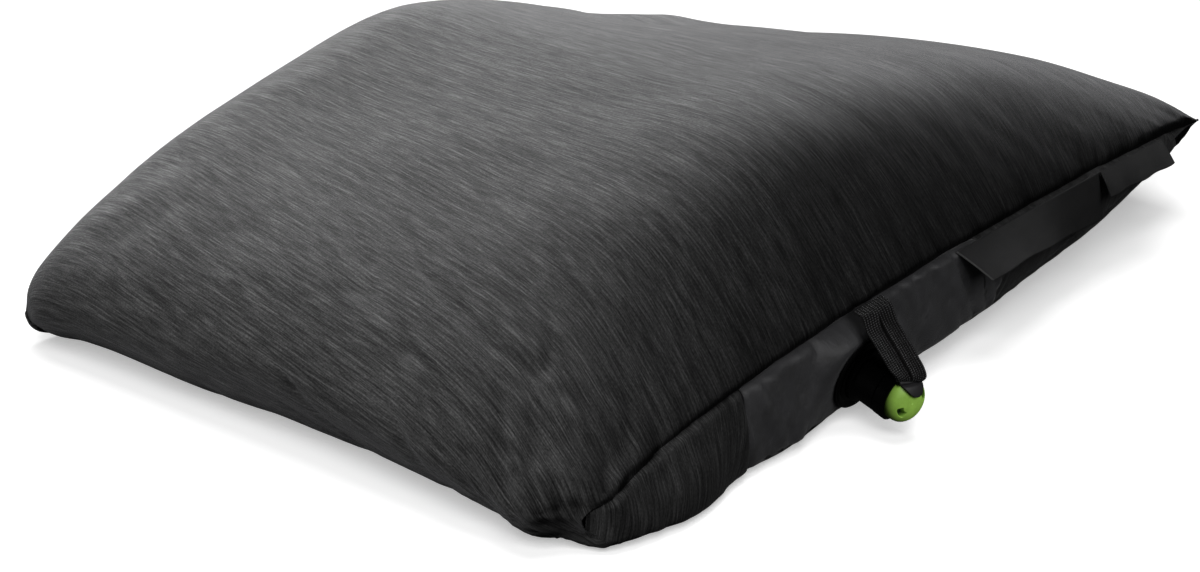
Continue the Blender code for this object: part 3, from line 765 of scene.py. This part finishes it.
def top_folds(u, across, xi, v, points):
    """Broad shallow folds over the top, a slack patch low on the left end, and gathers at the corners."""
    broad = 0.0007 * cloud(u + across * 0.3, across, 0.055, 0.11, 1.7)
    slack = smooth((-xi - 0.55) / 0.4) * smooth((0.6 - v) / 0.8)
    broad += 0.0011 * slack * crease(cloud(u - across * 0.55, across + u * 0.4, 0.022, 0.075, 5.2))
    near = bell(norm(points - tip_place((-1, -1)), axis=-1) / 0.055)
    broad += 0.0007 * near * crease(cloud(u + 0.9 * across, across - 0.5 * u, 0.0065, 0.022, 4.4), 1.6)
    return broad


def bottom_cover(field, mat):
    """The jersey underside, between the wrapped ends."""
    columns = even(lambda t: bottom_skin(t, 0 * t), 0.0045, -WRAP_TO, WRAP_TO)
    rows = even(lambda t: bottom_skin(0 * t, t), 0.0045)
    xi, v = np.meshgrid(columns, rows, indexing="ij")
    points = soften_tips(bottom_skin(xi, v) + field(xi, v))
    along, _, across, back = edges = edge_distances(points)
    relief = sum(seam_groove(edge) for edge in edges)
    relief += puckers(along, across, 0.0006, 0.008, 0.007, 2.2)
    relief += puckers(along, back, 0.0006, 0.008, 0.007, 4.2)
    relief += 0.0006 * cloud(along, across, 0.05, 0.08, 9.0) * smooth(underside(xi, v) / 0.01)
    points = raised(points, relief, flip=True)
    points[..., 2] = np.maximum(points[..., 2], 0.0)
    uv = np.stack([along - along[len(along) // 2], across], axis=-1)
    return piece_from_grid("cover_bottom", points[::-1], uv[::-1], mat)


def batting_pad(mat):
    """Thin quilted layer of batting under the cover's top."""
    columns = even(lambda t: top_skin(t, 0 * t), 0.006, -0.92, 0.92, near=(False, False))
    rows = even(lambda t: top_skin(0 * t, t), 0.006, -0.88, 0.88, near=(False, False))
    xi, v = np.meshgrid(columns, rows, indexing="ij")
    points = soften_tips(top_skin(xi, v))
    along, _, across, _ = edges = edge_distances(points)
    quilt = 0.0004 * cloud(along, across, 0.012, 0.012, 6.6)
    depth = PAD_FROM - quilt * smooth(np.min(edges, axis=0) / 0.01)
    outer = points - grid_normals(points) * depth[..., None]
    piece = piece_from_grid("batting", outer, np.stack([along, across], axis=-1), mat, PAD_TO - PAD_FROM)
    return piece


def gusset_grid(start, stop, step, side):
    """xi and w of a side panel between two edges, each given as length against share of height."""
    middle = lambda t: gusset_skin(t, 0 * t + 0.5, side)
    low, high = start(0.5) / HALF_L, stop(0.5) / HALF_L
    shares = (even(middle, step, low, high) - low) / (high - low)
    heights = even(lambda t: gusset_skin(0 * t, t, side), step, 0.0, 1.0)
    share, w = np.meshgrid(shares, heights, indexing="ij")
    return mix(start(w), stop(w), share) / HALF_L, w


def gusset(name, left, right, field, mat, relief, side=-1, step=0.0022):
    """A side panel between two edges, with its own relief."""
    xi, w = gusset_grid(left, right, step, side)
    points = soften_tips(gusset_skin(xi, w, side) + field(xi, w))
    along, stop, up, down = edge_distances(points)
    depth = seam_groove(up) + seam_groove(down) + relief(points[..., 0], up, down, along, stop)
    points = raised(points, depth, flip=side > 0)
    if name == "gusset_panel":
        points = behind_flange(points, up, down)
    uv = np.stack([xi * HALF_L + YARN_LEAN * down * down, up], axis=-1)
    if side > 0:
        points, uv = points[::-1], uv[::-1]
    return piece_from_grid(name, points, uv, mat)


def gathered(x, up, down):
    """Gathers that hang from the upper seam and lean towards the near end."""
    lean = x - 0.25 * down
    folds = cloud(lean, down, 0.0048, 0.040, 6.3)
    relief = 0.0009 * folds * np.exp(-down / 0.022) * smooth(down / 0.0015) * smooth(up / 0.003)
    relief += puckers(x, up, 0.0005, 0.006, 0.006, 7.9)
    return relief + 0.0007 * cloud(x, up, 0.03, 0.03, 2.4)


def near_gathers(x, up, down, along, stop):
    """Gathers, and the fullness beside the near corner."""
    full = 0.0045 * bell((x + 0.185) / 0.036) * smooth(up / 0.004) * smooth(down / 0.020)
    near_corner = 0.0008 * bell((x + 0.225) / 0.03) * cloud(x - 0.7 * down, down, 0.0045, 0.03, 5.5)
    calm = smooth(down / 0.003) * smooth(up / 0.003)
    return gathered(x, up, down) + full + near_corner * calm + 0.4 * seam_groove(stop)


def tucked(x, from_x, side, up, down):
    """The gusset folds in beyond a place, on one side of it."""
    return -0.006 * smooth(side * (x - from_x) / 0.03) * smooth(down / 0.004) * smooth(up / 0.006)


def far_gathers(x, up, down, along, stop):
    """Slighter gathers, and the tuck under the raised corner."""
    return 0.6 * gathered(x, up, down) + tucked(x, 0.205, 1, up, down)


def rear_gathers(x, up, down, along, stop):
    """Gathers, and the tuck under the left corner."""
    return gathered(x, up, down) + tucked(x, -0.215, -1, up, down)


def taffeta_folds(x, up, down, along, stop):
    """Soft diagonal folds, which run from the valve to the seams, and the raised pocket edge."""
    lean = x + 0.45 * up
    folds = crease(cloud(lean, up - 0.3 * x, 0.013, 0.05, 4.6), 1.6)
    valve = np.hypot(x - VALVE_CENTRE.x, up - 0.02)
    rays = np.cos(9 * np.arctan2(up - 0.022, x - VALVE_CENTRE.x) + 0.7)
    rays *= bell((valve - 0.026) / 0.012)
    calm = smooth(down / 0.004) * smooth(up / 0.004) * smooth(along / 0.004) * smooth(valve / 0.02 - 0.9)
    relief = (0.0010 * folds + 0.0007 * rays) * calm + 0.0009 * cloud(x, up, 0.035, 0.03, 3.3)
    relief += puckers(x, down, 0.0006, 0.006, 0.009, 1.9)
    return relief + 0.4 * seam_groove(along) + 0.0020 * np.exp(-stop / 0.008)


def behind_flange(points, up, down):
    """Draws the cloth flat against the back of the valve's flange."""
    offset = points - np.array(VALVE_CENTRE)
    out = offset @ np.array(OUT)
    radius = norm(offset - out[..., None] * np.array(OUT), axis=-1)
    held = (1 - smooth((radius - FLANGE_R - 0.0010) / 0.014)) * smooth(up / 0.007) * smooth(down / 0.007)
    return points + (held * (-0.0008 - out))[..., None] * np.array(OUT)


def panel_end(w):
    """The rounded far end of the valve's panel."""
    return PANEL_END_X + PANEL_END_BOW * np.sin(0.75 * np.pi * (1 - w))


def open_for_valve(panel):
    """Opens a round hole in the panel behind the flange."""
    mesh_data = bmesh.new()
    mesh_data.from_mesh(panel.data)
    inside = []
    for face in mesh_data.faces:
        offset = face.calc_center_median() - VALVE_CENTRE
        if (offset - OUT * offset.dot(OUT)).length < HOLE_R:
            inside.append(face)
    bmesh.ops.delete(mesh_data, geom=inside, context="FACES")
    mesh_data.to_mesh(panel.data)
    mesh_data.free()


# Labels


def seam_spot(x, gap=0.0):
    """A point beside the front seam, out from it and below it by a gap."""
    return top_skin(np.array(x / HALF_L), np.array(-1.0)) - (0, gap, gap)


def label(name, x_from, x_to, low_left, low_right, curl, margin, mat):
    """A blank woven tab that hangs from the front seam; without a margin its left edge is pale."""
    s, t = np.meshgrid(np.linspace(0, 1, 90), np.linspace(0, 1, 26), indexing="ij")
    top = top_skin(mix(x_from, x_to, s) / HALF_L, -np.ones_like(s)) - (0, 0.0010, 0.0008)
    top[..., 0] = mix(seam_spot(x_from)[0], seam_spot(x_to)[0], s)
    drop = mix(np.array(low_left), np.array(low_right), smooth(s)[..., None])
    points = top + drop * t[..., None]
    points[..., 1] -= curl * np.sin(np.pi * t) * (1 - 0.5 * s) + 0.0006 * np.sin(5 * np.pi * s) * t
    points[..., 2] += 0.5 * curl * np.sin(np.pi * t) * (1 - s)
    along, across = row_arcs(points), column_arcs(points)
    uv = np.stack([along + margin, across], axis=-1)
    piece = piece_from_grid(name, points, uv, mat, 0.0005, 0.0)
    size = (float(along[-1].mean()), float(across[:, -1].mean()))
    return piece, size


# Valve


def piece_from_rings(name, rings, mat, uv, closed):
    """A mesh from rings of points. The last ring is joined to the first, or both are filled."""
    mesh_data = bmesh.new()
    rows = [[mesh_data.verts.new(point) for point in ring] for ring in rings]
    for first, second in zip(rows, rows[1:] + rows[:closed]):
        for k in range(len(first)):
            m = (k + 1) % len(first)
            mesh_data.faces.new((first[k], first[m], second[m], second[k]))
    if not closed:
        mesh_data.faces.new(rows[0][::-1])
        mesh_data.faces.new(rows[-1])
    bmesh.ops.recalc_face_normals(mesh_data, faces=mesh_data.faces)
    mesh = bpy.data.meshes.new(name)
    mesh_data.to_mesh(mesh)
    mesh_data.free()
    finish_mesh(mesh, uv, mat)
    return add(name, mesh)


def ring(radius, height, angles):
    return np.stack([radius * np.cos(angles), radius * np.sin(angles), height + 0 * angles], axis=-1)


def turned(name, profile, mat, steps=96):
    """A closed profile of (radius, height) pairs, turned about the valve's axis."""
    angles = np.linspace(0, 2 * np.pi, steps, endpoint=False)
    rings = np.array([ring(r, s, angles) for r, s in profile])
    points = rings @ np.array([(1, 0, 0), UP[:], OUT[:]]) + np.array(VALVE_CENTRE)
    piece = piece_from_rings(name, points, mat, rings[..., :2], True)
    piece.data.set_sharp_from_angle(angle=math.radians(40))
    return piece


def rounded(r, s, size, start, stop, steps=6):
    """Profile points of a quarter round about (r, s)."""
    angles = [math.radians(mix(start, stop, k / steps)) for k in range(steps + 1)]
    return [(r + size * math.cos(a), s + size * math.sin(a)) for a in angles]


def flange(mat):
    lip = rounded(FLANGE_R - 0.0009, 0.0009, 0.0009, -90, 90)
    profile = [(HOUSING_R, 0.0)] + lip
    profile += [(0.0152, FLANGE_T - 0.0003), (0.0146, FLANGE_T - 0.0007), (0.0140, FLANGE_T - 0.0003)]
    profile += [(0.0136, FLANGE_T), (HOUSING_R, FLANGE_T)]
    return turned("flange_disc", profile, mat)


def housing(mat):
    collar = HOUSING_R + 0.0022
    profile = [(0.0075, -0.020), (HOUSING_R - 0.0008, -0.020), (HOUSING_R, -0.0192)]
    profile += [(HOUSING_R, FLANGE_T + 0.0001), (collar, FLANGE_T + 0.0001)]
    profile += rounded(collar - 0.0006, FLANGE_T + 0.0018, 0.0006, 0, 60)
    profile += [(HOUSING_R + 0.0006, FLANGE_T + 0.0030), (HOUSING_R + 0.0004, FLANGE_T + 0.0044)]
    groove = ((0.0006, 0.0150), (0.0010, 0.0154), (0.0004, 0.0158))
    profile += [(HOUSING_FLARE - inset, s) for inset, s in groove]
    profile += rounded(HOUSING_FLARE - 0.0008, HOUSING_END - 0.0008, 0.0008, 0, 90)
    profile += [(0.0075, HOUSING_END)]
    return turned("housing_tube", profile, mat)


def knob_places(local):
    """Points of the askew knob from its own right, up and out coordinates."""
    out = OUT * math.cos(KNOB_LEAN) + LEAN_SIDE * math.sin(KNOB_LEAN)
    out.normalize()
    turn = OUT.rotation_difference(out)
    right, up = turn @ Vector((1, 0, 0)), turn @ UP
    centre = VALVE_CENTRE + OUT * KNOB_PLACE
    return local @ np.array([right[:], up[:], out[:]]) + np.array(centre)


def knob_height(r):
    """The domed face of the knob: how far out it is at a radius."""
    return KNOB_RIM + (KNOB_CROWN - KNOB_RIM) * np.sqrt(np.maximum(0.0, 1 - (r / KNOB_RADIUS) ** 2.6))


def knob(mat):
    """Domed knob with two crescent finger recesses in its face."""
    steps, rings = 144, 60
    angles = np.linspace(0, 2 * np.pi, steps, endpoint=False)
    profile = [(KNOB_RADIUS - 0.0012, -0.0006), (KNOB_RADIUS - 0.0002, -0.0003)]
    profile += [(KNOB_RADIUS, 0.0003), (KNOB_RADIUS, KNOB_RIM)]
    grid = [ring(r, s, angles) for r, s in profile]
    sunk = [0 * angles] * len(profile)
    for i in range(1, rings + 1):
        r = max(0.0003, KNOB_RADIUS * math.cos(math.pi / 2 * i / rings))
        sunk.append(knob_recess(r, angles))
        grid.append(ring(r, knob_height(r) - sunk[-1], angles))
    # The recess depth becomes the first cloth coordinate, by which the knob's material paints shade into the
    # recesses.
    sunk = np.array(sunk) / RECESS_DEPTH
    uv = np.stack([sunk, 0 * sunk], axis=-1)
    return piece_from_rings("knob_cap", knob_places(np.array(grid)), mat, uv, False)


def knob_recess(r, angles):
    """Depth of the face's two crescent recesses at a radius and some angles."""
    depth = 0.0 * angles
    for middle, radius in ((215, 0.0062), (20, 0.0075)):
        turn = abs((angles - math.radians(middle) + math.pi) % (2 * math.pi) - math.pi)
        length = smooth((math.radians(24) - turn) / math.radians(8))
        width = smooth((0.0015 - abs(r - radius + 0.0016 * turn * turn)) / 0.0006)
        depth = depth + RECESS_DEPTH * length * width
    return depth


def leash_tab(mat):
    """Rubber tongue from the loop's fold, over the knob's upper edge and down its face."""
    centres = [0.0006, 0.0006, 0.0006, 0.0008, 0.0013, 0.0018]
    reach = [0.0072, 0.0072, 0.0070, 0.0054, 0.0038, 0.0024]
    ups = [KNOB_RADIUS + 0.0014, KNOB_RADIUS + 0.0012, KNOB_RADIUS - 0.0008, 0.0078, 0.0056, 0.0034]
    outs = [KNOB_RIM - 0.0020, KNOB_RIM + 0.0015, KNOB_RIM + 0.0038, 0.0, 0.0, 0.0]
    s = np.linspace(0, 5, 40)
    t = np.linspace(-1, 1, 24)
    steps = np.arange(6)
    half = np.interp(s, steps, reach) * np.sqrt(1 - clamp((s - 4.0) / 1.03) ** 2)
    x = np.interp(s, steps, centres)[:, None] + half[:, None] * t[None, :]
    up = np.interp(s, steps, ups)[:, None] + 0 * x
    over = knob_height(np.minimum(np.hypot(x, up), KNOB_RADIUS)) + 0.0010
    free = np.interp(s, steps, outs)[:, None] + 0 * x
    out = mix(free, over, smooth((s - 1.6) / 1.4)[:, None])
    points = knob_places(np.stack([x, up, out], axis=-1))
    uv = np.stack([row_arcs(points), column_arcs(points)], axis=-1)
    return piece_from_grid("loop_tongue", points, uv, mat, 0.0013, 0.0)


def elastic_loop(mat):
    """Knitted elastic: two ribbed legs from the seam, folded over at the tongue, and each leg's flat size."""
    top_left, top_right = (seam_spot(x, 0.0006) for x in LOOP_TOP)
    low_left, low_right = (np.array(spot) for spot in LOOP_LOW)
    down = (low_left + low_right - top_left - top_right) / 2
    across = top_right - top_left
    face = np.cross(across, down)
    face /= -norm(face)
    legs, sizes = [], []
    s, t = np.meshgrid(np.linspace(0, 1, 120), np.linspace(0, 1, 56), indexing="ij")
    body = clamp(s / FOLD_FROM)
    turn = clamp((s - FOLD_FROM) / (1 - FOLD_FROM)) * math.pi
    outer = 0.16 * clamp((s - 0.74) / 0.20) ** 2.5
    ribbed = 1 - 0.12 * smooth((s - 0.10) / 0.25)
    bow = 0.0030 * bell((s - 0.13) / 0.11) + 0.0008 * np.sin(np.pi * body)
    for number in (0, 1):
        inwards = mix(t, 1 - t, number)
        share = abs(number - mix(outer, LEG_SHARE, inwards))
        top = mix(top_left, top_right, share[..., None])
        low = mix(low_left, low_right, share[..., None])
        ribs = 0.00042 * abs(np.sin(np.pi * RIBS * t)) ** 0.7
        knots = 0.00010 * np.sin(2 * np.pi * s * 34 + np.pi * np.floor(RIBS * t))
        valley = -0.0012 * smooth((inwards - ribbed) / 0.04)
        lift = FOLD_RADIUS * (1 + np.cos(turn)) + bow + (ribs + knots + valley) * np.cos(turn)
        points = mix(top, low, body[..., None]) + face * lift[..., None]
        points += down / norm(down) * (FOLD_RADIUS * np.sin(turn))[..., None]
        lengths = row_arcs(points)
        # Past the ribbed share the first coordinate stays at RIBS, where the webbing's colour is near-black:
        # painted shade in the groove between the legs.
        uv = np.stack([RIBS * clamp(inwards / ribbed), lengths / KNIT_STEP], axis=-1)
        sizes.append((LEG_SHARE * float(norm(across)), float(lengths[-1].mean())))
        legs.append(piece_from_grid(f"leg_{number}", points, uv, mat, 0.0012, -1.0))
    return legs, sizes


# Stage


def studio_light(name, azimuth, elevation, distance, size, power):
    """A square soft light that faces the pillow from a direction."""
    azimuth, elevation = math.radians(azimuth), math.radians(elevation)
    level = math.cos(elevation)
    ahead = Vector((math.cos(azimuth) * level, math.sin(azimuth) * level, math.sin(elevation)))
    data = bpy.data.lights.new(name, "AREA")
    data.shape = "RECTANGLE"
    data.size = data.size_y = size
    data.energy = power
    lamp = add(name, data)
    lamp.location = LAMPS_FACE + ahead * distance
    lamp.rotation_euler = (-ahead).to_track_quat("-Z", "Y").to_euler()
    return lamp


def make_stage():
    """The white floor with its own lamps, and the world."""
    mesh = bpy.data.meshes.new("floor")
    corners = [(x * FLOOR_REACH, y * FLOOR_REACH, 0) for x, y in ((-1, -1), (1, -1), (1, 1), (-1, 1))]
    mesh.from_pydata(corners, [], [(0, 1, 2, 3)])
    glow = {"Emission_Strength": FLOOR_GLOW, "Emission_Color": (1.0, 1.0, 1.0, 1.0)}
    mesh.materials.append(Graph("floor_white", (0.9, 0.9, 0.9), 1.0, 0.0, **glow).mat)
    floor = add("floor", mesh)
    floor.location.z = -0.0002
    floor.visible_diffuse = False
    floor.visible_glossy = False
    light_only([studio_light(*lamp) for lamp in FLOOR_LAMPS], [floor], "INCLUDE")
    world = bpy.data.worlds.new("studio")
    world.use_nodes = True
    background = world.node_tree.nodes["Background"].inputs
    background["Color"].default_value = (1, 1, 1, 1)
    background["Strength"].default_value = WORLD_GLOW
    bpy.context.scene.world = world
    bpy.context.scene.view_settings.view_transform = "Standard"
    return floor


def light_only(lamps, pieces, state):
    """Lamps that light only these pieces, or all but these."""
    group = bpy.data.collections.new(lamps[0].name + "_receivers")
    for number, piece in enumerate(pieces):
        group.objects.link(piece)
        group.collection_objects[number].light_linking.link_state = state
    for lamp in lamps:
        lamp.light_linking.receiver_collection = group


def make_camera():
    data = bpy.data.cameras.new("camera")
    data.lens = CAMERA_LENS
    data.sensor_width = 36.0
    data.clip_start = 0.05
    camera = add("camera", data)
    level = math.cos(CAMERA_DROP)
    ahead = Vector((math.sin(CAMERA_TURN) * level, math.cos(CAMERA_TURN) * level, -math.sin(CAMERA_DROP)))
    camera.location = CAMERA_TARGET - ahead * CAMERA_DISTANCE
    camera.rotation_euler = ahead.to_track_quat("-Z", "Y").to_euler()
    bpy.context.scene.camera = camera


def ride_for(piece, body, node):
    """The piece moves with a body and stands for a CAD node, which it hides."""
    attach(piece, body)
    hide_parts(node)


def finish_cad(mat, *nodes):
    """Gives CAD nodes that stay a better material."""
    for node in nodes:
        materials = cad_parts[node].data.materials
        materials.clear()
        materials.append(mat)


def main():
    make_camera()
    floor = make_stage()
    jersey = jersey_material()
    taffeta = taffeta_material()
    satin = satin_material()
    webbing = webbing_material()
    gloss = plastic_material("gloss_black", (0.010, 0.010, 0.011), 0.22, 0.05)
    black = plastic_material("moulded_black", (0.011, 0.011, 0.012), 0.38, 0.15)
    # The knob's recesses are painted dark green: painted shade.
    green = plastic_material("knob_green", (0.43, 0.76, 0.115), 0.45, 0.12, painted_recess_shade=(0.012, 0.030, 0.008))
    rubber = plastic_material("soft_rubber", (0.012, 0.011, 0.013), 0.60, 0.4)
    film = plastic_material("air_film", (0.42, 0.43, 0.45), 0.45, 0.3)
    batting = fibre_material("batting", (0.80, 0.80, 0.78), 0.003)

    top_field, low_field, front_field, rear_field = pressure_fields()
    top = top_cover(top_field, low_field, jersey)
    bottom = bottom_cover(low_field, jersey)
    low_end = lambda w: -GUSSET_REACH * HALF_L + 0 * w
    high_end = lambda w: GUSSET_REACH * HALF_L + 0 * w
    near_seam = lambda w: NEAR_SEAM_X + 0 * w
    under_panel = lambda w: panel_end(w) - 0.012
    near = gusset("gusset_near", low_end, near_seam, front_field, jersey, near_gathers)
    panel = gusset("gusset_panel", near_seam, panel_end, front_field, taffeta, taffeta_folds)
    far = gusset("gusset_far", under_panel, high_end, front_field, jersey, far_gathers)
    rear = gusset("gusset_rear", low_end, high_end, rear_field, jersey, rear_gathers, 1, 0.0035)
    open_for_valve(panel)
    skins = (top, bottom, near, panel, far, rear)
    nodes = ("top_cover", "bottom_cover", "front_gusset_near", "valve_panel", "front_gusset_far")
    for skin, node in zip(skins, (*nodes, "rear_gusset")):
        ride_for(skin, "pillow", node)

    labels = []
    for name, node, *place in LABELS:
        piece, size = label(name, *place, satin)
        ride_for(piece, "pillow", node)
        labels.append(piece)

    valve = [flange(gloss), housing(black), knob(green), leash_tab(rubber)]
    ride_for(valve[0], "pillow", "valve_flange")
    ride_for(valve[1], "pillow", "valve_housing")
    ride_for(valve[2], "knob", "valve_knob")
    ride_for(valve[3], "knob", "leash_tab")
    legs, leg_sizes = elastic_loop(webbing)
    light_only([studio_light(*lamp) for lamp in PILLOW_LAMPS], [floor, *valve], "EXCLUDE")
    for lamp, pieces in zip(FRONT_LAMPS, ([*valve[2:], *legs, panel], [near, far, bottom, *labels])):
        light_only([studio_light(*lamp)], pieces, "INCLUDE")
    for leg, size in zip(legs, leg_sizes):
        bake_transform(leg)
    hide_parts("elastic_loop")

    ride_for(batting_pad(batting), "pillow", "insulation_pad")
    finish_cad(film, "bladder_upper_film", "bladder_lower_film")
    finish_cad(film, "bladder_baffle_1", "bladder_baffle_2", "bladder_baffle_3")
    finish_cad(taffeta, "stow_pocket")
    finish_cad(black, "flap_seat", "valve_stem")
    finish_cad(rubber, "check_flap", "stem_seal")


main()
